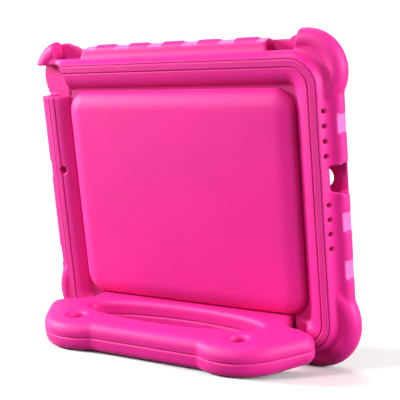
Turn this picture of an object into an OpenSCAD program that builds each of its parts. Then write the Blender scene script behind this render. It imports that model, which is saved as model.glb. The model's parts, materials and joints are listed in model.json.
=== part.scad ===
// Moulded-foam tablet case with a swinging grip handle that doubles as a stand.
// Everything is drawn lying flat, back face up, then leaned into its standing pose.
// In that flat frame X runs along the tablet's long side, Y up its short side
// and Z out of the back. The tablet's centre is X = 0, Y = 0.

/* [Tablet space] */
// Length of the tablet, along the case (mm)
tablet_l = 240; // [200:0.5:260]
// Height of the tablet, across the case (mm)
tablet_h = 169.5; // [150:0.5:190]
// Thickness of the tablet (mm)
tablet_t = 7.5; // [5:0.1:12]
// Corner radius of the tablet (mm)
tablet_r = 10; // [4:0.5:16]
// Room all round the tablet (mm)
tablet_gap = 0.3; // [0:0.05:1]

/* [Bumper shell] */
// Thickness of the case from front lip to band (mm)
case_t = 24; // [18:0.5:32]
// Thickness of the lip in front of the screen (mm)
lip_t = 8; // [3:0.5:12]
// Width of bezel the lip covers along the long sides (mm)
lip_w = 8; // [3:0.5:14]
// Width of bezel the lip covers along the short sides (mm)
lip_side_w = 13; // [3:0.5:16]
// Radius of the home button's opening in the lip (mm)
home_r = 7; // [5:0.5:9]
// Distance of the home button from the tablet's edge (mm)
home_in = 10.5; // [8:0.5:14]
// Half length of the case at the band's outer line (mm)
band_x = 116; // [100:0.5:140]
// Height of the band's outer line above the tablet centre (mm)
band_top = 82; // [70:0.5:100]
// Corner radius of the band's outer line at the top (mm)
band_r = 20; // [8:0.5:30]
// Corner radius of the band's outer line at the hinge lugs (mm)
lug_band_r = 20; // [10:0.5:30]
// Depth of the lug corner centres below the tablet centre (mm)
lug_y = 99.5; // [90:0.5:120]
// Width of the textured band (mm)
band_w = 6.2; // [3:0.1:10]
// Height of the band above the rim (mm)
band_h = 0.5; // [0.2:0.1:1.5]
// Radius of the bumper's outer nose (mm)
nose_r = 5; // [3:0.5:8]
// Reach of the nose centre beyond the band (mm)
nose_out = 9; // [5:0.5:14]
// Height of the nose centre above mid thickness (mm)
nose_z = 0.7; // [-4:0.1:4]
// Radius of the hollow between nose and band (mm)
cove_r = 7.4; // [5:0.1:12]
// Radius of the front outer edge (mm)
rim_r = 3; // [1:0.5:5]

/* [Corner blocks] */
// Radius of the top corner blocks (mm)
block_r = 28.4; // [20:0.2:40]
// Centre of a top corner block along the case (mm)
block_x = 105.2; // [90:0.2:120]
// Centre of a top corner block above the tablet centre (mm)
block_y = 72; // [60:0.5:90]
// Radius of the hinge lugs (mm)
lug_r = 34.2; // [25:0.2:45]
// Centre of a lug along the case (mm)
lug_x = 99.5; // [90:0.5:110]
// Centre of a lug below the tablet centre (mm)
lug_c = 100.5; // [90:0.5:110]
// Nose radius of blocks and lugs (mm)
block_nose = 7; // [4:0.5:10]
// Height of the hollow inside a block's nose (mm)
block_floor = 6.2; // [4:0.1:8]
// Radius of the lug's inner lower corner (mm)
lug_corner = 14; // [4:0.5:20]

/* [Back pad] */
// Half width of the pad (mm)
pad_x = 97.5; // [70:0.5:110]
// Top edge of the pad above the tablet centre (mm)
pad_top = 62.3; // [40:0.5:75]
// Plan corner radius of the pad (mm)
pad_r = 16; // [10:0.5:30]
// Edge radius of the pad (mm)
pad_edge = 9; // [4:0.5:10]
// Height of the recess floor that carries the pad (mm)
floor_z = 5.6; // [4.5:0.1:8]
// Radius of the roll down into the recess (mm)
slope_r = 14; // [8:0.5:17]
// Corner radius of the recess's flat floor (mm)
foot_r = 4; // [3:0.5:10]

/* [Cut-outs] */
// Camera window's lower edge above the tablet centre (mm)
cam_lo = 58.3; // [50:0.5:70]
// Camera window's upper edge above the tablet centre (mm)
cam_hi = 82.2; // [70:0.5:90]
// Inner edge of the camera window at its foot, along the case (mm)
cam_in = 97; // [85:0.5:110]
// Inner edge of the camera window at its head, along the case (mm)
cam_in_hi = 102.7; // [85:0.5:115]
// Far button window through the top wall, one end (mm)
far_win_0 = -109.5; // [-115:0.5:-100]
// Far button window through the top wall, other end (mm)
far_win_1 = -84; // [-95:0.5:-75]
// Button window on the port side, one end (mm)
near_win_0 = 77; // [65:0.5:85]
// Button window on the port side, other end (mm)
near_win_1 = 98.5; // [90:0.5:105]
// Radius of the speaker holes (mm)
speaker_r = 1.65; // [0.8:0.05:3]
// First speaker hole from the port centre (mm)
speaker_first = 16.4; // [10:0.2:25]
// Pitch of the speaker holes (mm)
speaker_pitch = 10; // [4:0.5:15]
// Radius of the microphone hole (mm)
mic_r = 3; // [1:0.1:5]
// Radius of the small sound holes on the other side (mm)
sound_r = 0.9; // [0.5:0.1:2]
// Upper edge of the charging port cut-out at the lip (mm)
port_hi = 11; // [5:0.5:15]
// Lower edge of the charging port cut-out at the lip (mm)
port_lo = -9.5; // [-15:0.5:-5]
// Height of the hollow round the port, above the lip (mm)
port_rise = 12.4; // [8:0.1:14]
// Start of that hollow beyond the band (mm)
port_in = 2.8; // [1:0.1:6]
// Length of a bumper notch (mm)
notch_l = 13; // [6:0.5:20]
// Depth of a bumper notch (mm)
notch_d = 2; // [0.5:0.1:3]
// Slant of a notch's face towards the back (degrees)
notch_tilt = 15; // [0:1:45]
// Pitch of the notches along the top (mm)
notch_pitch = 30.4; // [20:0.2:40]
// Pitch of the notches down the port side (mm)
notch_side = 33; // [20:0.2:45]
// Uppermost notch on the port side (mm)
notch_first = 38; // [20:0.5:50]

/* [Handle] */
// Thickness of the handle (mm)
grip_t = 22; // [16:0.5:26]
// Half width of the tongue between the lugs (mm)
tongue_x = 84.3; // [60:0.5:100]
// Gap between tongue and lug (mm)
side_gap = 1.5; // [0.6:0.1:3]
// Distance of the hinge axis below the tablet centre (mm)
axis_y = 108.5; // [95:0.5:120]
// Reach of the grip bar's front face from the axis (mm)
bar_y = 73.1; // [55:0.5:90]
// Half length of the grip bar's flat face (mm)
bar_x = 47; // [30:0.5:70]
// Reach of the lobes either side of the bar (mm)
lobe_y = 78.5; // [60:0.5:95]
// Lobe centre along the case (mm)
lobe_x = 67; // [60:0.5:75]
// Plan radius of a lobe (mm)
lobe_r = 40; // [20:0.5:42]
// Centre of the handle's round end along the case (mm)
end_x = 106; // [95:0.5:115]
// Centre of the handle's round end from the axis (mm)
end_y = 36; // [30:0.5:50]
// Plan radius of the handle's round end (mm)
end_r = 9; // [5:0.5:14]
// Edge radius of the handle's lower half (mm)
grip_edge = 5; // [2:0.5:9]
// Edge radius of the handle's upper half (mm)
grip_top_edge = 7; // [2:0.5:9]
// Edge radius of the grip slot (mm)
slot_edge = 4; // [1:0.5:6]
// Edge radius of the strap holes (mm)
strap_edge = 2; // [0.5:0.5:3]
// Half length of the grip slot (mm)
slot_x = 75; // [50:0.5:85]
// Half width of the grip slot (mm)
slot_y = 17; // [10:0.5:22]
// Slot centre from the axis (mm)
slot_c = 33.6; // [25:0.2:45]
// Radius of the strap holes (mm)
strap_r = 6.5; // [3:0.5:8]
// Strap hole from the middle, along the case (mm)
strap_x = 70.6; // [55:0.2:85]
// Strap hole from the axis (mm)
strap_y = 57.4; // [45:0.2:70]

/* [Hinge] */
// Radius of the steel hinge pins (mm)
pin_r = 3; // [2:0.1:4]
// Running clearance of a pin in its bush (mm)
pin_play = 0.05; // [0.01:0.01:0.1]
// Length of a hinge pin (mm)
pin_l = 32; // [20:1:45]
// Outer radius of a bush (mm)
bush_r = 6; // [4.5:0.1:8]
// Length of a bush (mm)
bush_l = 15; // [8:0.5:25]
// Hub radius of a lug insert (mm)
hub_r = 5; // [4.5:0.1:5.5]
// Hub length of a lug insert (mm)
hub_l = 17; // [10:0.5:22]
// Thickness of the insert's anchor plate (mm)
fin_t = 3; // [2:0.2:4]
// Thickness of the friction washers (mm)
washer_t = 0.9; // [0.5:0.1:1.2]
// Outer radius of the friction washers (mm)
washer_r = 6.5; // [5:0.5:10]
// Thickness of the handle's core plate (mm)
core_t = 3; // [2:0.2:5]

/* [Hidden] */
$fn = 96;
half_t = case_t / 2;
cav_z = lip_t - half_t;
cav_t = tablet_t + 0.1;
cav_x = tablet_l / 2 + tablet_gap;
cav_y = tablet_h / 2 + tablet_gap;
lip_x = tablet_l / 2 - lip_side_w;
lip_y = tablet_h / 2 - lip_w;
top_cx = band_x - band_r;
top_cy = band_top - band_r;
lug_cx = band_x - lug_band_r;
// front edge circle that meets the nose along a straight flank
flank = 33.5;
flank_n = [cos(flank), -sin(flank)];
flank_c = nose_out * flank_n[0] + nose_z * flank_n[1] + nose_r;
rim_out = (flank_c - rim_r + (half_t - rim_r) * flank_n[1]) / flank_n[0];
cove_z = nose_z + nose_r + cove_r;
chin_y = axis_y - grip_t / 2 - 0.3;
lug_in = tongue_x + side_gap;
lug_low = lug_c + lug_r;
shoulder_r = lug_corner + side_gap;
shoulder_x = lug_in + lug_corner;
shoulder_y = lug_low - lug_corner - axis_y;
slope_top = band_x - band_w;
slope_in = sqrt(slope_r * slope_r - pow(slope_r - (half_t - floor_z), 2));
rec_x = slope_top - slope_in;
rec_y = band_top - band_w - slope_in;
rec_low = lug_y + lug_band_r - band_w - slope_in;
pad_low = chin_y - 0.2;
// lean at which the lugs and the handle's front edge touch the ground together
lug_nose_y = lug_low - block_nose;
grip_low_y = axis_y + grip_t / 2 - grip_edge;
rise = lug_nose_y - grip_low_y;
reach = lobe_y - grip_edge - nose_z;
lean = asin((block_nose - grip_edge) / norm([rise, reach])) + atan(rise / reach);
stand_z = lug_nose_y * cos(lean) + nose_z * sin(lean) + block_nose;
stand_y = 9.085;
// how far the side cut-outs run past the band, beyond every wall
reach_out = 40;
// length of a bush's bore in the handle, deeper than the pin reaches
pocket_l = 20;
// cover of foam left between the core plate and the handle's outline
core_cover = 6;
// foam left round the slot and the strap holes
slot_cover = 4;
strap_cover = 2.5;
// insert's anchor plate: start beyond the lug's inner face, length, height and drop
fin_start = 4;
fin_l = 24;
fin_h = 30;
fin_drop = 14;
// where the side walls' small holes meet the hollow wall, and their length
hole_x = band_x + 1.6;
hole_z = 7.4;
hole_l = 15;
// small sound holes and notches on the side away from the port
sound_ys = [50, 43, -50, -57];
far_notches = [0, -71];

// ---------- placing ----------

// flat frame to standing pose
module stand() {
    translate([0, stand_y, stand_z])
        rotate([90 + lean, 0, 0])
            children();
}

// handle frame (X along, Y away from the axis, Z down the case) to standing pose
module on_axis() {
    stand()
        translate([0, -axis_y, 0])
            rotate([90, 0, 0])
                children();
}

module both_sides() {
    children();
    mirror([1, 0, 0])
        children();
}

// ---------- shared outlines ----------

// rounded rectangle from -x..x and y0..y1
module round_rect(x, y0, y1, r) {
    translate([-x + r, y0])
        square([2 * (x - r), y1 - y0]);
    translate([-x, y0 + r])
        square([2 * x, y1 - y0 - 2 * r]);
    for (sx = [-1, 1])
        for (cy = [y0 + r, y1 - r])
            translate([sx * (x - r), cy])
                circle(r);
}

// bumper section; r0 is the distance from the sweep centre to the band's outer line
module rim_section(r0) {
    difference() {
        union() {
            polygon([
                [0, -half_t],
                [r0 + rim_out, -half_t],
                [r0 + rim_out + rim_r * flank_n[0], rim_r - half_t + rim_r * flank_n[1]],
                [r0 + nose_out + nose_r * flank_n[0], nose_z + nose_r * flank_n[1]],
                [r0 + nose_out, nose_z],
                [r0 + nose_out, nose_z + nose_r],
                [r0, half_t],
                [0, half_t]
            ]);
            translate([r0 + nose_out, nose_z])
                circle(nose_r);
            translate([r0 + rim_out, rim_r - half_t])
                circle(rim_r);
        }
        translate([r0 + nose_out - 0.8, cove_z])
            circle(cove_r);
    }
}

// section of corner blocks and lugs, hollow inside a raised nose; r is the outermost radius
module block_section(r) {
    rim_in = r - block_nose - 4.5;
    polygon([
        [0, -half_t],
        [rim_in, -half_t],
        [rim_in + rim_r * flank_n[0], rim_r - half_t + rim_r * flank_n[1]],
        [r - block_nose + block_nose * flank_n[0], nose_z + block_nose * flank_n[1]],
        [r - block_nose, nose_z],
        [r - block_nose, block_floor],
        [0, block_floor]
    ]);
    translate([r - block_nose, nose_z])
        circle(block_nose);
    translate([rim_in, rim_r - half_t])
        circle(rim_r);
}

// ---------- foam shell ----------

module outer_form() {
    // middle slab
    translate([-top_cx, -lug_y, -half_t])
        cube([2 * top_cx, lug_y + top_cy, case_t]);
    // top edge
    translate([-top_cx, top_cy, 0])
        rotate([90, 0, 90])
            linear_extrude(2 * top_cx)
                rim_section(band_r);
    both_sides() {
        // side edge
        translate([lug_cx, top_cy, 0])
            rotate([90, 0, 0])
                linear_extrude(top_cy + lug_y)
                    rim_section(lug_band_r);
        // top corner
        translate([top_cx, top_cy, 0])
            rotate_extrude(angle = 90)
                rim_section(band_r);
        translate([block_x, block_y, 0])
            rotate_extrude()
                block_section(block_r);
        // hinge lug
        translate([lug_cx, -lug_y, 0])
            rotate([0, 0, -90])
                rotate_extrude(angle = 90)
                    rim_section(lug_band_r);
        translate([lug_x, -lug_c, 0])
            rotate_extrude()
                block_section(lug_r);
    }
    band_solid();
}

module band_solid() {
    translate([0, 0, half_t - 1])
        linear_extrude(1 + band_h) {
            round_rect(band_x, -lug_y, band_top, band_r);
            round_rect(band_x, -lug_y - lug_band_r, 0, lug_band_r);
        }
}

// section of the recess's edge, measured from its corner centres: a flat floor, then the foam
// rises ever more gently to the band
module edge_section() {
    difference() {
        translate([0, floor_z])
            square([foot_r + slope_in, half_t + 2 - floor_z]);
        translate([foot_r + slope_in, half_t - slope_r])
            circle(slope_r);
    }
}

// recess round the pad
module recess() {
    cx = rec_x - foot_r;
    top = rec_y - foot_r;
    low = foot_r - rec_low;
    translate([-cx - 1, low - 1, floor_z])
        cube([2 * cx + 2, top - low + 2, half_t + 2 - floor_z]);
    translate([-cx, top, 0])
        rotate([90, 0, 90])
            linear_extrude(2 * cx)
                edge_section();
    both_sides() {
        translate([cx, top, 0])
            rotate([90, 0, 0])
                linear_extrude(top - low)
                    edge_section();
        translate([cx, top, 0])
            rotate_extrude(angle = 90)
                edge_section();
        translate([cx, low, 0])
            rotate([0, 0, -90])
                rotate_extrude(angle = 90)
                    edge_section();
        translate([cx, low, 0])
            rotate([90, 0, -90])
                linear_extrude(cx - lug_in + 3)
                    edge_section();
    }
    // floor run out under the pad's foot, between the lugs
    translate([-lug_in, -rec_low, floor_z])
        cube([2 * lug_in, foot_r + 1, half_t + 2 - floor_z]);
}

module tablet_space() {
    translate([0, 0, cav_z])
        linear_extrude(cav_t)
            round_rect(cav_x, -cav_y, cav_y, tablet_r);
    translate([0, 0, -half_t - 1])
        linear_extrude(lip_t + 2)
            round_rect(lip_x, -lip_y, lip_y, tablet_r - 2);
    translate([tablet_l / 2 - home_in, 0, -half_t - 1])
        cylinder(h = lip_t + 2, r = home_r);
}

// space for the handle's tongue between the lugs
module chin_cut() {
    translate([-lug_in, -lug_low - 10, -case_t])
        cube([2 * lug_in, lug_low + 10 - chin_y, 2 * case_t]);
    both_sides()
        translate([0, 0, -case_t])
            linear_extrude(2 * case_t)
                difference() {
                    translate([lug_in - 1, -lug_low - 5])
                        square([lug_corner + 1, lug_corner + 5]);
                    translate([lug_in + lug_corner - 0.4, -lug_low + lug_corner - 0.4])
                        circle(lug_corner);
                }
}

// camera window, open at the side
module camera_window() {
    translate([0, 0, cav_z])
        linear_extrude(case_t + 4)
            polygon([
                [-band_x - reach_out, cam_lo],
                [-cam_in, cam_lo],
                [-cam_in - 0.5, cam_lo + 8],
                [-cam_in - 2.2, cam_lo + 17],
                [-cam_in_hi, cam_hi],
                [-band_x - reach_out, cam_hi]
            ]);
}

// window through the top wall, lip left standing; x0..x1 at its foot, wider by dx0, dx1 outside
module top_window(x0, x1, dx0, dx1) {
    low = band_top + 4.5;
    high = band_top + 30;
    translate([0, 0, cav_z])
        linear_extrude(case_t)
            polygon([[x0, low], [x1, low], [x1 + dx1, high], [x0 - dx0, high]]);
    // opening onto the tablet's edge
    translate([x0, cav_y - 2, cav_z])
        cube([x1 - x0, low - cav_y + 3, cav_t]);
}

// window through the side wall
module port_window() {
    translate([band_x - 1.5, port_lo, cav_z])
        cube([reach_out, port_hi - port_lo, cav_t + 0.4]);
    // shallow splayed hollow round it, towards the back
    translate([band_x + port_in, 0, cav_z])
        rotate([0, 90, 0])
            linear_extrude(reach_out)
                polygon([
                    [-1, port_hi + 0.6],
                    [-port_rise, port_hi - 1.6],
                    [-port_rise, port_lo + 3],
                    [-1, port_lo - 0.6]
                ]);
}

// hole square to the hollow wall, reaching the tablet's edge
module side_hole(y, r) {
    translate([hole_x, y, hole_z])
        rotate([0, 45, 0])
            translate([0, 0, -hole_l / 2])
                cylinder(h = hole_l, r = r, $fn = 48);
}

module sound_holes() {
    for (k = [0:3])
        for (s = [-1, 1])
            side_hole(s * (speaker_first + k * speaker_pitch), speaker_r);
    mirror([1, 0, 0])
        for (y = sound_ys)
            side_hole(y, sound_r);
    translate([-slope_top + 1, 1, 0])
        cylinder(h = case_t, r = mic_r);
}

// flat facet cut across the nose, centred on the X axis of its own frame
module notch() {
    translate([0, nose_out, nose_z])
        rotate([notch_tilt - 90, 0, 0])
            translate([-notch_l / 2, -10, nose_r - notch_d])
                cube([notch_l, 20, 12]);
}

module notches() {
    for (k = [-2.5:1:2.5])
        translate([k * notch_pitch, band_top, 0])
            notch();
    for (k = [0:3])
        translate([band_x, notch_first - k * notch_side, 0])
            rotate([0, 0, -90])
                notch();
    for (y = far_notches)
        translate([-band_x, y, 0])
            rotate([0, 0, 90])
                notch();
}

// hub and anchor plate of a lug insert
module insert_form() {
    translate([lug_in + 0.5, -axis_y, 0])
        rotate([0, 90, 0])
            cylinder(h = hub_l, r = hub_r);
    translate([lug_in + fin_start, -axis_y - fin_drop, -fin_t / 2])
        cube([fin_l, fin_h, fin_t]);
}

module foam_shell() {
    color([0.93, 0.13, 0.55])
        stand()
            difference() {
                outer_form();
                recess();
                tablet_space();
                chin_cut();
                camera_window();
                top_window(far_win_0, far_win_1, 2, 9);
                top_window(near_win_0, near_win_1, 1, 6);
                port_window();
                sound_holes();
                notches();
                both_sides() {
                    insert_form();
                    translate([lug_in - 1, -axis_y, 0])
                        rotate([0, 90, 0])
                            cylinder(h = 3, r = hub_r);
                }
            }
}

// ---------- pad ----------

module back_pad() {
    y0 = -pad_low;
    flat = pad_r - pad_edge;
    color([0.95, 0.16, 0.58])
        stand()
            translate([0, 0, floor_z]) {
                linear_extrude(pad_edge)
                    round_rect(pad_x - pad_edge, y0 + pad_edge, pad_top - pad_edge, flat);
                for (cy = [y0 + pad_r, pad_top - pad_r])
                    for (s = [-1, 1])
                        translate([s * (pad_x - pad_r), cy, 0])
                            rotate_extrude()
                                pad_section();
                both_sides()
                    translate([pad_x - pad_edge, pad_top - pad_r, 0])
                        rotate([90, 0, 0])
                            linear_extrude(pad_top - y0 - 2 * pad_r)
                                pad_quarter();
                for (s = [0, 1])
                    translate([0, s == 0 ? pad_top - pad_edge : y0 + pad_edge, 0])
                        mirror([0, s, 0])
                            translate([pad_r - pad_x, 0, 0])
                                rotate([90, 0, 90])
                                    linear_extrude(2 * (pad_x - pad_r))
                                        pad_quarter();
            }
}

module pad_quarter() {
    intersection() {
        circle(pad_edge);
        square(pad_edge);
    }
}

module pad_section() {
    square([pad_r - pad_edge, pad_edge]);
    translate([pad_r - pad_edge, 0])
        pad_quarter();
}

// ---------- hinge ----------

module lug_insert() {
    difference() {
        insert_form();
        translate([lug_in, -axis_y, 0])
            rotate([0, 90, 0])
                cylinder(h = hub_l - 2, r = pin_r);
    }
}

module hinge_pin() {
    translate([lug_in + hub_l - 2.5 - pin_l, -axis_y, 0])
        rotate([0, 90, 0])
            cylinder(h = pin_l, r = pin_r);
}

module washer() {
    translate([tongue_x + (side_gap - washer_t) / 2, -axis_y, 0])
        rotate([0, 90, 0])
            difference() {
                cylinder(h = washer_t, r = washer_r);
                translate([0, 0, -1])
                    cylinder(h = 3, r = pin_r);
            }
}

module bush() {
    translate([tongue_x - bush_l, 0, 0])
        rotate([0, 90, 0])
            difference() {
                cylinder(h = bush_l, r = bush_r);
                translate([0, 0, -1])
                    cylinder(h = bush_l + 2, r = pin_r + pin_play);
            }
}

module lug_insert_right() {
    color([0.2, 0.2, 0.22])
        stand()
            lug_insert();
}

module lug_insert_left() {
    color([0.2, 0.2, 0.22])
        stand()
            mirror([1, 0, 0])
                lug_insert();
}

module hinge_pin_right() {
    color([0.7, 0.7, 0.72])
        stand()
            hinge_pin();
}

module hinge_pin_left() {
    color([0.7, 0.7, 0.72])
        stand()
            mirror([1, 0, 0])
                hinge_pin();
}

module washer_right() {
    color([0.2, 0.2, 0.21])
        stand()
            washer();
}

module washer_left() {
    color([0.2, 0.2, 0.21])
        stand()
            mirror([1, 0, 0])
                washer();
}

module bush_right() {
    color([0.2, 0.2, 0.22])
        on_axis()
            bush();
}

module bush_left() {
    color([0.2, 0.2, 0.22])
        on_axis()
            mirror([1, 0, 0])
                bush();
}

// ---------- handle ----------

// largest edge radius anywhere on the outline
edge_max = 9;

// outline vertex: position, outward normal angle, largest edge radius (0 marks the round rear end),
// and how much rounder than the half's own edge it may be
function turn(cx, cy, r, a0, a1, n, e, more) =
    [for (i = [0:n]) let (a = a0 + (a1 - a0) * i / n)
        [cx + r * cos(a), cy + r * sin(a), a1 > a0 ? a : a + 180, e, more]];
// normals of the straight flanks: shoulder to end, end to lobe
shoulder_n = atan2(shoulder_y - end_y, shoulder_x - end_x)
    + acos((shoulder_r + end_r) / norm([shoulder_x - end_x, shoulder_y - end_y]));
front_n = atan2(lobe_y - lobe_r - end_y, lobe_x - end_x)
    - acos((end_r - lobe_r) / norm([lobe_x - end_x, lobe_y - lobe_r - end_y]));
grip_half = concat(
    [[tongue_x, 0, 0, 0, 1]],
    turn(shoulder_x, shoulder_y, shoulder_r, 180, 180 + shoulder_n, 10, 2, 1),
    turn(end_x, end_y, end_r, shoulder_n, front_n, 14, end_r - 1, 1.6),
    turn(lobe_x, lobe_y - lobe_r, lobe_r, front_n, 115, 12, edge_max, 1),
    [[bar_x + 0.6, bar_y + 0.3, 112, edge_max, 1], [bar_x - 1, bar_y, 95, edge_max, 1]]
);
grip_pts = concat(grip_half, [for (i = [len(grip_half) - 1:-1:0])
    let (p = grip_half[i]) [-p[0], p[1], 180 - p[2], p[3], p[4]]]);
// heights of the outline's rings as shares of the half thickness
grip_levels = [-0.1, 0.27, 0.42, 0.56, 0.68, 0.79, 0.88, 0.94, 0.98, 1];
// the blank stands this much proud of the flat faces that trim it
grip_trim = 0.03;
function inset(e, z) = let (t = min(e, max(0, z - grip_t / 2 + e)))
    e - sqrt(max(0, e * e - t * t));
function rear(z) = -sqrt(max(0, pow(grip_t / 2, 2) - z * z));
function grip_ring(z, edge) = [for (p = grip_pts)
    let (d = inset(p[3] == 0 ? 2 : min(p[3], edge * p[4]), z))
    [p[0] - d * cos(p[2]), p[3] == 0 ? rear(z) : p[1] - d * sin(p[2]), z]];

// one half of the handle, parting face at Z = 0
module grip_block(edge) {
    n = len(grip_pts);
    m = len(grip_levels);
    pts = [for (l = grip_levels) each grip_ring(l * (grip_t / 2 + grip_trim), edge)];
    sides = [for (j = [0:m - 2]) for (i = [0:n - 1])
        [j * n + i, (j + 1) * n + i, (j + 1) * n + (i + 1) % n, j * n + (i + 1) % n]];
    intersection() {
        polyhedron(points = pts, faces = concat([[for (i = [0:n - 1]) i]], sides,
            [[for (i = [n - 1:-1:0]) (m - 1) * n + i]]));
        translate([-2 * tongue_x, -grip_t, 0])
            cube([4 * tongue_x, 2 * tongue_x, grip_t / 2]);
    }
}

function oval(grow, z, n) = [for (i = [0:n - 1])
    [(slot_x + grow) * cos(i * 360 / n), slot_c + (slot_y + grow) * sin(i * 360 / n), z]];

module slot_outline(grow) {
    polygon([for (p = oval(grow, 0, 72)) [p[0], p[1]]]);
}

// the slot with its rounded rim
module slot_cutter() {
    n = 72;
    m = len(grip_levels);
    pts = [for (l = grip_levels) let (z = l * (grip_t / 2 + grip_trim))
        each oval(inset(slot_edge, min(z, grip_t / 2)), z, n)];
    sides = [for (j = [0:m - 2]) for (i = [0:n - 1])
        [j * n + i, (j + 1) * n + i, (j + 1) * n + (i + 1) % n, j * n + (i + 1) % n]];
    polyhedron(points = pts, faces = concat([[for (i = [0:n - 1]) i]], sides,
        [[for (i = [n - 1:-1:0]) (m - 1) * n + i]]));
}

module strap_cutter() {
    translate([0, 0, -1])
        cylinder(h = grip_t, r = strap_r);
    translate([0, 0, grip_t / 2 - strap_edge])
        rotate_extrude()
            difference() {
                square([strap_r + strap_edge, strap_edge + 1]);
                translate([strap_r + strap_edge, 0])
                    circle(strap_edge);
            }
}

// plate shape, well inside the handle's outline
module core_outline() {
    wide = end_x - core_cover;
    difference() {
        union() {
            translate([8 - tongue_x, -7])
                square([2 * tongue_x - 16, 30]);
            polygon([[-60, 10], [60, 10], [82, 24], [wide, end_y], [wide, end_y + 4],
                [66, bar_y - core_cover], [-66, bar_y - core_cover], [-wide, end_y + 4],
                [-wide, end_y], [-82, 24]]);
        }
        slot_outline(slot_cover);
        for (s = [-1, 1])
            translate([s * strap_x, strap_y])
                circle(strap_r + strap_cover);
    }
}

module grip_half_solid(edge) {
    difference() {
        grip_block(edge);
        slot_cutter();
        for (s = [-1, 1])
            translate([s * strap_x, strap_y, 0])
                strap_cutter();
        translate([0, 0, -1])
            linear_extrude(1 + core_t / 2)
                core_outline();
        bush_pockets();
    }
}

// bores for the bushes
module bush_pockets() {
    both_sides()
        translate([tongue_x - pocket_l, 0, 0])
            rotate([0, 90, 0])
                cylinder(h = pocket_l + 1, r = bush_r);
}

module grip_upper() {
    color([0.95, 0.16, 0.58])
        on_axis()
            mirror([0, 0, 1])
                grip_half_solid(grip_top_edge);
}

module grip_lower() {
    color([0.93, 0.13, 0.55])
        on_axis()
            grip_half_solid(grip_edge);
}

module grip_core() {
    color([0.2, 0.2, 0.22])
        on_axis()
            difference() {
                translate([0, 0, -core_t / 2])
                    linear_extrude(core_t)
                        core_outline();
                bush_pockets();
            }
}

foam_shell();
back_pad();
lug_insert_right();
lug_insert_left();
hinge_pin_right();
hinge_pin_left();
grip_upper();
grip_lower();
grip_core();
bush_right();
bush_left();
washer_right();
washer_left();
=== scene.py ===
"""Looks of the foam tablet case: soft moulded edges, textured band, pillow pad and split handle."""

import json
import math

import bmesh
import bpy
import numpy as np
from mathutils import Matrix, Vector


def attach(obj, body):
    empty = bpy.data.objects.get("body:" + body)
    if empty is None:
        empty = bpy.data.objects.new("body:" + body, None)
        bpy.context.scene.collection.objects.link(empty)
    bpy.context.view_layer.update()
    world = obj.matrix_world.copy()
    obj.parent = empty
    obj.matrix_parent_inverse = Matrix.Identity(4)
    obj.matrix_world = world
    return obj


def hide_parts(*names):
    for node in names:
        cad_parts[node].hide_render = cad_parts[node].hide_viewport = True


MM = 0.001
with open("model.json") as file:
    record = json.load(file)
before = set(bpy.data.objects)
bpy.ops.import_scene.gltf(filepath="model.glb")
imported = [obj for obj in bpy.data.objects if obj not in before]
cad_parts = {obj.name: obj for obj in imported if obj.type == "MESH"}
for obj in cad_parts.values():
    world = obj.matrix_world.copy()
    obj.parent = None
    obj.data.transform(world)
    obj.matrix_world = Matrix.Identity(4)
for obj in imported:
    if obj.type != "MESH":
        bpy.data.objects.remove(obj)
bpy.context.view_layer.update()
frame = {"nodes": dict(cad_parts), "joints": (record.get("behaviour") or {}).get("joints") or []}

# ---------- the case's own flat frame: x along, y up the back, z out of the back, in mm ----------
LEAN = math.radians(11.826)
AXIS_DROP = 108.5
HINGE = Vector(frame["joints"][0]["pos_m"])
UP = Vector((0, -math.sin(LEAN), math.cos(LEAN)))
OUT = Vector((0, -math.cos(LEAN), -math.sin(LEAN)))
CENTRE = HINGE + UP * AXIS_DROP * MM

# ---------- sizes in mm ----------
# Outline of the textured band: half width, top, foot of the lugs, corner radii, and its width inwards
BAND_X = 116.0
BAND_TOP = 82.0
BAND_R = 20.0
LUG_Y = 99.5
LUG_BAND_R = 20.0
BAND_W = 6.2
# What lies further out of the back than this is the band's face
BAND_Z = 9.0
# The band's two edge grooves: distances inwards from its outline, their depth and half width
GROOVES = (0.7, 6.2)
GROOVE = 0.9
GROOVE_W = 0.45
# The band's diagonal hatch: pitch of its ribs, and where they fade out short of the grooves
RIB_PITCH = 1.5
RIB_FADE_FROM = 1.1
RIB_FADE_TO = 0.7
# Pad: half width, top, foot, corner radius, and the floor of the recess that it stands on
PAD_X = 97.5
PAD_TOP = 62.3
PAD_LOW = -97.0
PAD_R = 16.0
PAD_FLOOR = 5.6
# Round edge of the pad's plain block, and the broad roll and slight crown that replace it
PAD_EDGE = 9.0
PAD_ROLL = 15.0
PAD_CROWN = 0.9
# Powers that shape the roll: how it flattens towards the middle, and how steeply it starts at the side
ROLL_FLATTEN = 2.2
ROLL_STEEPNESS = 0.55
# Height of the painted shade in the crease at the foot of the pad
CREASE_H = 2.0
# Handle: extra smoothing of the rims, and where it sets in along, across and out of the handle
END_SOFTNESS = 9.0
END_FROM = 40.0
RIM_FROM = 3.5
FRONT_FROM = 25.0
# Size of the remeshed cells, and rounds of smoothing
CELL = 0.7
PAD_CELL = CELL * 1.4
ROUNDS = 6
PAD_ROUNDS = 3
# Sound holes: the speaker's row, the small ones and the microphone's as x, y and radius
SPEAKER_X = 117.6
SPEAKER_R = 1.65
SPEAKERS = [s * (16.4 + 10 * k) for k in range(4) for s in (1, -1)]
SOUND_HOLE_R = 0.9
SOUND_HOLES = (50, 43, -50, -57)
MICROPHONE = (-108.8, 1.0, 3.0)
# Share of the smoothing at a hole's edge, the ring round it that keeps that share, and the fade beyond;
# this holds for the back, which is what lies further out than BACK_FROM
HOLE_SHARE = 0.25
HOLE_RING = 3.0
HOLE_FADE = 4.0
BACK_FROM = 2.0
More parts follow.
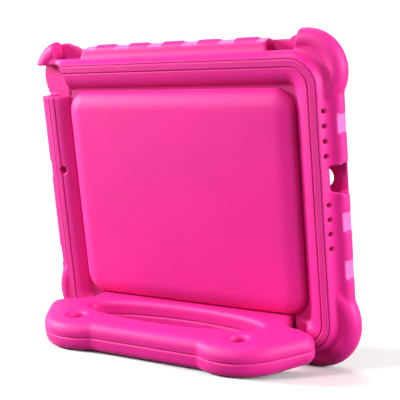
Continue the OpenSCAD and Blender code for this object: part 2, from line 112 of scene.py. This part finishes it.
# Bumper notches: where they are along each side, their length, half height and tilt
NOTCHES_TOP = [k * 30.4 for k in (-2.5, -1.5, -0.5, 0.5, 1.5, 2.5)]
NOTCHES_PORT_SIDE = (38, 5, -28, -61)
NOTCHES_FAR_SIDE = (0, -71)
NOTCH_L = 13.0
NOTCH_HALF_H = 4.2
NOTCH_TILT = math.radians(15)
# Middle of the bumper's nose, past the band's outline and out of the back
NOSE_OUT = 9.0
NOSE_Z = 0.7
# How far from that middle the notches' facets lie, and how near to one a point counts as on it
NOTCH_PLANE = 3.0
NOTCH_REACH = 0.9

# ---------- colours, linear ----------
PINK = (0.80, 0.008, 0.268, 1)
PALE_PINK = (0.95, 0.20, 0.62, 1)
# Painted shade in the band's grooves and in the crease at the pad's foot
PAINTED_SHADE_PINK = (0.36, 0.001, 0.10, 1)
BLACK_PLASTIC = (0.020, 0.020, 0.022, 1)
STEEL = (0.55, 0.55, 0.56, 1)
NYLON = (0.033, 0.033, 0.036, 1)
PALE_FLOOR = (0.92, 0.92, 0.925, 1)

# ---------- shares of colour: the foam's skin and hatch, painted highlight on edges and facets, painted shade in grooves and creases; and their relief in metres ---
SKIN_SHARE = 0.05
# Lighter convex edges: painted highlight, partly edge wear
EDGE_WEAR_AND_HIGHLIGHT_SHARE = 0.16
# Painted shade in the grooves and creases
PAINTED_SHADE_SHARE = 0.7
# Painted highlight on the notch facets
FACET_HIGHLIGHT_SHARE = 0.75
HATCH_SHARE = 0.10
RELIEF = 0.00012

# ---------- stage, in metres and watts ----------
FLOOR_TURN = math.radians(33.7)
FLOOR_HALF_W = 7.0
FLOOR_NEAR = -6.0
SWEEP_FROM = 1.6
SWEEP_R = 1.2
BACKDROP_TOP = 6.0
SKY = 0.3
MIDDLE = (0, 0, 0.12)
CAMERA_PLACE = (0.4035, -0.5776, 0.1429)
CAMERA_AZIMUTH = math.radians(33.662)
CAMERA_ELEVATION = math.radians(2.441)
CAMERA_ROLL = math.radians(1.716)
CAMERA_LENS = 87.55


def to_flat(points):
    """World points, in metres, as an array in the flat frame, in mm."""
    p = (points - np.array(CENTRE)) / MM
    return np.stack([p[:, 0], p @ np.array(UP), p @ np.array(OUT)], 1)


def from_flat(flat):
    """Flat-frame points back to the world, in metres."""
    x = np.outer(flat[:, 0], (1, 0, 0))
    y = np.outer(flat[:, 1], UP)
    z = np.outer(flat[:, 2], OUT)
    return np.array(CENTRE) + (x + y + z) * MM


def read_points(mesh, layer="co"):
    values = np.zeros(len(mesh.vertices) * 3)
    mesh.vertices.foreach_get(layer, values)
    return values.reshape(-1, 3)


def write_points(mesh, points):
    mesh.vertices.foreach_set("co", points.ravel())
    mesh.update()


def smooth(t):
    t = np.clip(t, 0, 1)
    return t * t * (3 - 2 * t)


def inside_depth(x, y, half, low, high, top_r, low_r):
    """Distance inwards from the outline of a rectangle with rounded corners."""
    ax = np.abs(x)
    depth = np.minimum(np.minimum(half - ax, high - y), y - low)
    top = (ax > half - top_r) & (y > high - top_r)
    depth = np.where(top, top_r - np.hypot(ax - half + top_r, y - high + top_r), depth)
    foot = (ax > half - low_r) & (y < low + low_r)
    return np.where(foot, low_r - np.hypot(ax - half + low_r, y - low - low_r), depth)


def band_depth(flat):
    """Distance inwards from the outline of the textured band."""
    foot = -LUG_Y - LUG_BAND_R
    return inside_depth(flat[:, 0], flat[:, 1], BAND_X, foot, BAND_TOP, BAND_R, LUG_BAND_R)


def add_attribute(mesh, name, values):
    kind = "FLOAT_VECTOR" if values.ndim == 2 else "FLOAT"
    layer = mesh.attributes.new(name, kind, "POINT")
    layer.data.foreach_set("vector" if values.ndim == 2 else "value", values.ravel().astype(np.float32))


def neighbours(mesh):
    """Both ends of every edge, and each vertex's number of edges."""
    ends = np.zeros(len(mesh.edges) * 2, int)
    mesh.edges.foreach_get("vertices", ends)
    a, b = ends.reshape(-1, 2).T
    count = np.bincount(a, minlength=len(mesh.vertices)) + np.bincount(b, minlength=len(mesh.vertices))
    return a, b, np.maximum(count, 1)


def mean_of_neighbours(values, a, b, count):
    columns = [
        np.bincount(a, column[b], len(values)) + np.bincount(b, column[a], len(values))
        for column in values.T
    ]
    return np.stack(columns, 1) / count[:, None]


def soft_copy(node, name, cell, rounds, weight=None):
    """A copy of a CAD node, remeshed into small even cells and smoothed, so its edges are softly moulded.
    weight gives each point in the flat frame its share of the smoothing, and extra rounds above 1."""
    source = frame["nodes"][node]
    rough = bpy.data.objects.new(name + "_rough", source.data.copy())
    bpy.context.scene.collection.objects.link(rough)
    remesh = rough.modifiers.new("cells", "REMESH")
    remesh.mode = "VOXEL"
    remesh.voxel_size = cell * MM
    bpy.context.view_layer.update()
    ready = rough.evaluated_get(bpy.context.evaluated_depsgraph_get())
    mesh = bpy.data.meshes.new_from_object(ready)
    bpy.data.objects.remove(rough)
    mesh.name = name
    mesh.materials.clear()
    mesh.polygons.foreach_set("use_smooth", [True] * len(mesh.polygons))
    points = read_points(mesh)
    links = neighbours(mesh)
    share = np.ones(len(points)) if weight is None else weight(to_flat(points))
    for i in range(int(rounds * max(1, share.max()))):
        now = np.clip(share - i // rounds, 0, 1)[:, None]
        points += 0.5 * now * (mean_of_neighbours(points, *links) - points)
    write_points(mesh, points)
    piece = bpy.data.objects.new(name, mesh)
    bpy.context.scene.collection.objects.link(piece)
    return piece


# ---------- materials ----------


def shade(colour, factor):
    """A colour made lighter or darker."""
    return tuple(min(1, factor * c) for c in colour[:3]) + (1,)


class Nodes:
    """Short helper for one material's nodes."""

    def __init__(self, name):
        self.material = bpy.data.materials.new(name)
        self.material.use_nodes = True
        self.tree = self.material.node_tree
        self.shader = self.tree.nodes["Principled BSDF"]

    def add(self, kind, **values):
        node = self.tree.nodes.new(kind)
        for key, value in values.items():
            setattr(node, key, value)
        return node

    def link(self, source, target):
        self.tree.links.new(source, target)

    def attribute(self, name, vector=False):
        node = self.add("ShaderNodeAttribute", attribute_name=name)
        return node.outputs["Vector" if vector else "Fac"]

    def noise(self, where, scale, detail=2.0, roughness=0.5):
        node = self.add("ShaderNodeTexNoise")
        node.inputs["Scale"].default_value = scale
        node.inputs["Detail"].default_value = detail
        node.inputs["Roughness"].default_value = roughness
        self.link(where, node.inputs["Vector"])
        return node.outputs["Fac"]

    def math(self, operation, a, b=None, c=None):
        node = self.add("ShaderNodeMath", operation=operation)
        for i, value in enumerate((a, b, c)):
            if value is None:
                continue
            if isinstance(value, (int, float)):
                node.inputs[i].default_value = value
            else:
                self.link(value, node.inputs[i])
        return node.outputs[0]

    def spread(self, value, low, high, to_low, to_high):
        node = self.add("ShaderNodeMapRange")
        for key, number in (("From Min", low), ("From Max", high), ("To Min", to_low), ("To Max", to_high)):
            node.inputs[key].default_value = number
        self.link(value, node.inputs["Value"])
        return node.outputs["Result"]

    def mix(self, factor, a, b, blend="MIX"):
        node = self.add("ShaderNodeMix", data_type="RGBA", blend_type=blend)
        colours = [s for s in node.inputs if s.type == "RGBA"]
        for socket, value in zip((node.inputs[0], *colours), (factor, a, b)):
            if isinstance(value, (int, float, tuple)):
                socket.default_value = value
            else:
                self.link(value, socket)
        return next(s for s in node.outputs if s.type == "RGBA")

    def bump(self, height, strength, distance, normal=None):
        node = self.add("ShaderNodeBump")
        node.inputs["Strength"].default_value = strength
        node.inputs["Distance"].default_value = distance
        self.link(height, node.inputs["Height"])
        if normal is not None:
            self.link(normal, node.inputs["Normal"])
        return node.outputs["Normal"]


def foam_material(name, banded):
    """Matt closed-cell foam skin. A banded one carries the fine diagonal hatch between its two grooves."""
    n = Nodes(name)
    flat = n.attribute("flat", vector=True)
    clouds = n.noise(flat, 0.022, 3.0)
    skin = n.noise(flat, 1.5, 3.0, 0.6)
    cells = n.noise(flat, 5.0, 2.0, 0.7)
    tone = n.spread(clouds, 0.3, 0.7, 0.0, 1.0)
    colour = n.mix(tone, shade(PINK, 0.94), shade(PINK, 1.04))
    colour = n.mix(n.spread(skin, 0.35, 0.75, 0.0, SKIN_SHARE), colour, PALE_PINK)
    # Lighter on convex edges: painted highlight, partly edge wear
    edge = n.attribute("edge")
    colour = n.mix(n.spread(edge, 0.0, 1.0, 0.0, EDGE_WEAR_AND_HIGHLIGHT_SHARE), colour, PALE_PINK)
    # Darker in the grooves and in the crease round the pad: painted shade
    colour = n.mix(n.math("MULTIPLY", n.attribute("groove_and_crease_shade"), PAINTED_SHADE_SHARE), colour, PAINTED_SHADE_PINK)
    shine = n.spread(skin, 0.3, 0.7, 0.50, 0.62)
    height = n.math("MULTIPLY_ADD", cells, 0.35, skin)
    normal = n.bump(height, 0.28, RELIEF)
    if banded:
        ribs = band_ribs(n, flat)
        colour = n.mix(n.spread(ribs, -1.0, 1.0, -HATCH_SHARE, HATCH_SHARE), colour, PALE_PINK)
        # Lighter on the notch facets: painted highlight
        colour = n.mix(n.math("MULTIPLY", n.attribute("facet"), FACET_HIGHLIGHT_SHARE), colour, PALE_PINK)
        normal = n.bump(ribs, 1.0, RELIEF, normal)
    n.link(colour, n.shader.inputs["Base Color"])
    n.link(shine, n.shader.inputs["Roughness"])
    n.link(normal, n.shader.inputs["Normal"])
    n.shader.inputs["Specular IOR Level"].default_value = 0.36
    n.shader.inputs["Sheen Weight"].default_value = 0.04
    n.shader.inputs["Sheen Roughness"].default_value = 0.5
    n.shader.inputs["Sheen Tint"].default_value = PALE_PINK
    return n.material


def band_ribs(n, flat):
    """The band's fine diagonal ribs, from -1 to 1."""
    parts = n.add("ShaderNodeSeparateXYZ")
    n.link(flat, parts.inputs[0])
    diagonal = n.math("ADD", parts.outputs[0], parts.outputs[1])
    ribs = n.math("SINE", n.math("MULTIPLY", diagonal, 2 * math.pi / RIB_PITCH))
    middle = n.math("ABSOLUTE", n.math("SUBTRACT", n.attribute("depth"), BAND_W / 2))
    on_band = n.spread(middle, BAND_W / 2 - RIB_FADE_FROM, BAND_W / 2 - RIB_FADE_TO, 1.0, 0.0)
    return n.math("MULTIPLY", n.math("MULTIPLY", ribs, on_band), n.attribute("back"))


def plain_material(name, colour, roughness, metallic, grain):
    """Hidden hardware: moulded plastic or ground steel with a fine grain."""
    n = Nodes(name)
    where = n.add("ShaderNodeTexCoord").outputs["Object"]
    fine = n.noise(where, grain, 3.0)
    broad = n.noise(where, grain / 12, 2.0)
    n.link(n.mix(broad, shade(colour, 0.8), colour), n.shader.inputs["Base Color"])
    n.link(n.spread(fine, 0.3, 0.7, roughness - 0.07, roughness + 0.07), n.shader.inputs["Roughness"])
    n.link(n.bump(fine, 0.2, 0.00004), n.shader.inputs["Normal"])
    n.shader.inputs["Metallic"].default_value = metallic
    return n.material


FOAM = foam_material("foam", False)
BANDED_FOAM = foam_material("banded_foam", True)
PLASTIC = plain_material("plastic", BLACK_PLASTIC, 0.45, 0.0, 900.0)
GROUND_STEEL = plain_material("steel", STEEL, 0.3, 1.0, 1500.0)
WASHER_NYLON = plain_material("nylon", NYLON, 0.4, 0.0, 700.0)


def convexity(mesh, cell):
    """How convex each vertex is, from 0 to 1, from its distance to the mean of its neighbours."""
    points = read_points(mesh)
    links = neighbours(mesh)
    lift = ((points - mean_of_neighbours(points, *links)) * read_points(mesh, "normal")).sum(1)
    value = np.clip(lift / (cell * MM * 0.16), 0, 1)[:, None]
    for _ in range(3):
        value = 0.5 * value + 0.5 * mean_of_neighbours(value, *links)
    return value[:, 0]


def dress(piece, body, material, cell):
    """Attributes, material, slot and body of a foam piece."""
    mesh = piece.data
    flat = to_flat(read_points(mesh))
    add_attribute(mesh, "flat", flat)
    # Convexity, which the material turns into a painted highlight on the edges, partly edge wear
    add_attribute(mesh, "edge", convexity(mesh, cell))
    mesh.materials.append(material)
    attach(piece, body)
    return flat


# ---------- shell ----------


def notch_mask(flat):
    """1 on the flat facets cut across the bumper's nose, where a painted highlight goes."""
    x, y, z = flat.T
    runs = [(x - u, y - BAND_TOP) for u in NOTCHES_TOP]
    runs += [(y - v, x - BAND_X) for v in NOTCHES_PORT_SIDE]
    runs += [(y - v, -x - BAND_X) for v in NOTCHES_FAR_SIDE]
    mask = np.zeros(len(flat))
    tilt_cos = math.cos(NOTCH_TILT)
    tilt_sin = math.sin(NOTCH_TILT)
    for along, out in runs:
        lift = (out - NOSE_OUT) * tilt_cos + (z - NOSE_Z) * tilt_sin - NOTCH_PLANE
        slide = (z - NOSE_Z) * tilt_cos - (out - NOSE_OUT) * tilt_sin
        near = smooth((NOTCH_REACH - np.abs(lift)) / 0.5) * smooth((NOTCH_HALF_H - np.abs(slide)) / 0.6)
        mask = np.maximum(mask, near * smooth((NOTCH_L / 2 - np.abs(along)) / 0.8 + 0.5))
    return mask


def hole_places():
    """Sound holes as (x, y, radius) in the flat frame."""
    places = [(SPEAKER_X, y, SPEAKER_R) for y in SPEAKERS]
    places += [(-SPEAKER_X, y, SOUND_HOLE_R) for y in SOUND_HOLES]
    return places + [MICROPHONE]


def shell_weight(flat):
    """The sound holes are smoothed less, so they keep crisp edges."""
    share = np.full(len(flat), 1.0)
    for x, y, r in hole_places():
        away = np.hypot(flat[:, 0] - x, flat[:, 1] - y)
        near_hole = HOLE_SHARE + (1 - HOLE_SHARE) * smooth((away - r - HOLE_RING) / HOLE_FADE)
        share = np.minimum(share, np.where(flat[:, 2] > BACK_FROM, near_hole, 1))
    return share


def finer_band(mesh):
    """Splits the cells on and beside the band once, so that its grooves have clean edges."""
    flat = to_flat(read_points(mesh))
    depth = band_depth(flat)
    wanted = (flat[:, 2] > BAND_Z) & (depth > -2) & (depth < BAND_W + 2)
    form = bmesh.new()
    form.from_mesh(mesh)
    edges = [e for e in form.edges if wanted[e.verts[0].index] and wanted[e.verts[1].index]]
    bmesh.ops.subdivide_edges(form, edges=edges, cuts=1, use_grid_fill=True)
    form.to_mesh(mesh)
    form.free()


def groove_lines(flat):
    """1 along the middle of the two grooves at the edges of the band."""
    depth = band_depth(flat)
    lines = sum(np.exp(-(((depth - at) / GROOVE_W) ** 2)) for at in GROOVES)
    return lines * smooth((flat[:, 2] - BAND_Z) / 1.0)


def crease(flat):
    """Painted shade: 1 at the foot of the pad and of the recess round it, fading upwards."""
    foot = smooth((PAD_FLOOR + CREASE_H - flat[:, 2]) / CREASE_H)
    return foot * (flat[:, 2] > PAD_FLOOR - 2) * (band_depth(flat) > BAND_W + 2)


def carve_band(mesh):
    """Cuts the two grooves into the band."""
    flat = to_flat(read_points(mesh))
    flat[:, 2] -= GROOVE * groove_lines(flat)
    write_points(mesh, from_flat(flat))


shell = soft_copy("foam_shell", "foam_body", CELL, ROUNDS, shell_weight)
finer_band(shell.data)
carve_band(shell.data)
shell_flat = dress(shell, "case", BANDED_FOAM, CELL)
add_attribute(shell.data, "depth", band_depth(shell_flat))
add_attribute(shell.data, "back", smooth((shell_flat[:, 2] - BAND_Z - 0.5) / 1.0))
# Mask for the painted highlight on the notch facets
add_attribute(shell.data, "facet", notch_mask(shell_flat))
# Painted shade along the band's grooves and in the crease round the pad
add_attribute(shell.data, "groove_and_crease_shade", np.maximum(groove_lines(shell_flat), crease(shell_flat)))
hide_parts("foam_shell")

# ---------- pad ----------


def pillow(flat):
    """The pad's flat block turned into a pillow with a broad rolled edge and a slight crown."""
    x, y, z = flat.T
    depth = inside_depth(x, y, PAD_X, PAD_LOW, PAD_TOP, PAD_R, PAD_R)
    d = np.clip(depth, 0, None)
    block = np.sqrt(np.clip(PAD_EDGE**2 - np.clip(PAD_EDGE - d, 0, None) ** 2, 0.25, None))
    roll = 1 - np.clip(1 - d / PAD_ROLL, 0, 1) ** ROLL_FLATTEN
    rolled = PAD_EDGE * np.clip(roll, 0.0008, None) ** ROLL_STEEPNESS
    mid = (PAD_TOP + PAD_LOW) / 2
    half = (PAD_TOP - PAD_LOW) / 2
    crown = PAD_CROWN * np.clip(1 - (x / PAD_X) ** 2, 0, 1) * np.clip(1 - ((y - mid) / half) ** 2, 0, 1)
    height = np.clip(z - PAD_FLOOR, 0, None) / block
    out = flat.copy()
    out[:, 2] = np.where(z > PAD_FLOOR, PAD_FLOOR + height * (rolled + crown), z)
    return out


pad = soft_copy("back_pad", "pad", PAD_CELL, PAD_ROUNDS)
write_points(pad.data, from_flat(pillow(to_flat(read_points(pad.data)))))
pad_flat = dress(pad, "case", FOAM, PAD_CELL)
# Painted shade in the crease at the pad's foot
add_attribute(pad.data, "groove_and_crease_shade", crease(pad_flat))
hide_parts("back_pad")

# ---------- handle ----------


def grip_weight(flat):
    """The handle's outer rims are rounder towards its ends; the parting line stays fine."""
    ends = smooth((np.abs(flat[:, 0]) - END_FROM) / 20)
    rims = smooth((np.abs(flat[:, 1] + AXIS_DROP) - RIM_FROM) / 3)
    front = smooth((flat[:, 2] - FRONT_FROM) / 15)
    return 1 + END_SOFTNESS * ends * rims * front


for node in ("grip_upper", "grip_lower"):
    half_grip = soft_copy(node, node.replace("grip", "handle"), CELL, ROUNDS, grip_weight)
    dress(half_grip, "handle", FOAM, CELL)
    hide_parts(node)

# ---------- hidden hardware ----------

for words, material, slot in (
    (("lug_insert", "bush", "grip_core"), PLASTIC, "plastic"),
    (("hinge_pin",), GROUND_STEEL, "steel"),
    (("washer",), WASHER_NYLON, "nylon"),
):
    for name, node in frame["nodes"].items():
        if name.startswith(words):
            node.data.materials.clear()
            node.data.materials.append(material)

# ---------- stage, light, camera ----------


def sweep_floor():
    """Pale floor that curves up into a backdrop."""
    turns = np.linspace(0.1, math.pi / 2, 14)
    profile = [(FLOOR_NEAR, 0.0), (SWEEP_FROM, 0.0)]
    profile += [(SWEEP_FROM + SWEEP_R * math.sin(a), SWEEP_R - SWEEP_R * math.cos(a)) for a in turns]
    profile += [(SWEEP_FROM + SWEEP_R, BACKDROP_TOP)]
    verts = [(s * FLOOR_HALF_W, y, z) for y, z in profile for s in (-1, 1)]
    faces = [(2 * i, 2 * i + 1, 2 * i + 3, 2 * i + 2) for i in range(len(profile) - 1)]
    mesh = bpy.data.meshes.new("floor")
    mesh.from_pydata(verts, [], faces)
    mesh.polygons.foreach_set("use_smooth", [True] * len(faces))
    floor = bpy.data.objects.new("floor", mesh)
    floor.rotation_euler[2] = FLOOR_TURN
    bpy.context.scene.collection.objects.link(floor)
    n = Nodes("floor")
    n.shader.inputs["Base Color"].default_value = PALE_FLOOR
    n.shader.inputs["Roughness"].default_value = 0.8
    mesh.materials.append(n.material)
    floor.visible_diffuse = False


def area_light(name, place, target, size, power):
    light = bpy.data.lights.new(name, "AREA")
    light.shape = "DISK"
    light.size = size
    light.energy = power
    lamp = bpy.data.objects.new(name, light)
    lamp.location = place
    lamp.rotation_euler = (Vector(target) - Vector(place)).to_track_quat("-Z", "Y").to_euler()
    bpy.context.scene.collection.objects.link(lamp)


def soft_sky():
    """Even light from above that fades to none below the horizon."""
    world = bpy.data.worlds.new("studio")
    world.use_nodes = True
    nodes = world.node_tree.nodes
    links = world.node_tree.links
    where = nodes.new("ShaderNodeTexCoord")
    parts = nodes.new("ShaderNodeSeparateXYZ")
    fade = nodes.new("ShaderNodeMapRange")
    fade.inputs["From Min"].default_value = -0.35
    fade.inputs["From Max"].default_value = 0.5
    fade.inputs["To Max"].default_value = SKY
    links.new(where.outputs["Generated"], parts.inputs[0])
    links.new(parts.outputs[2], fade.inputs["Value"])
    links.new(fade.outputs["Result"], nodes["Background"].inputs["Strength"])
    nodes["Background"].inputs["Color"].default_value = (1, 1, 1, 1)
    return world


def photo_camera():
    """Camera at the picture's angle: a little above the table, off the port side's corner."""
    flat_back = Vector((math.sin(CAMERA_AZIMUTH), -math.cos(CAMERA_AZIMUTH), 0))
    back = flat_back * math.cos(CAMERA_ELEVATION) + Vector((0, 0, math.sin(CAMERA_ELEVATION)))
    level = Vector((math.cos(CAMERA_AZIMUTH), math.sin(CAMERA_AZIMUTH), 0))
    right = Matrix.Rotation(CAMERA_ROLL, 3, back) @ level
    data = bpy.data.cameras.new("camera")
    data.sensor_width = 36
    data.lens = CAMERA_LENS
    data.clip_start = 0.01
    camera = bpy.data.objects.new("camera", data)
    turn = Matrix((right, back.cross(right), back)).transposed()
    camera.matrix_world = Matrix.Translation(CAMERA_PLACE) @ turn.to_4x4()
    bpy.context.scene.collection.objects.link(camera)
    bpy.context.scene.camera = camera


sweep_floor()
scene = bpy.context.scene
scene.view_settings.view_transform = "Standard"
scene.world = soft_sky()
area_light("key", place=(-1.35, -0.6, 0.6), target=MIDDLE, size=0.4, power=36)
area_light("top", place=(-0.1, 0.05, 1.5), target=MIDDLE, size=0.6, power=2.5)
area_light("side", place=(1.25, -0.05, 0.4), target=MIDDLE, size=0.5, power=19)
area_light("front", place=(-0.5, -1.7, 0.95), target=MIDDLE, size=0.5, power=19)
area_light("backdrop", place=(-0.9, 1.3, 2.4), target=(-1.4, 2.6, 0.9), size=1.2, power=60)
photo_camera()
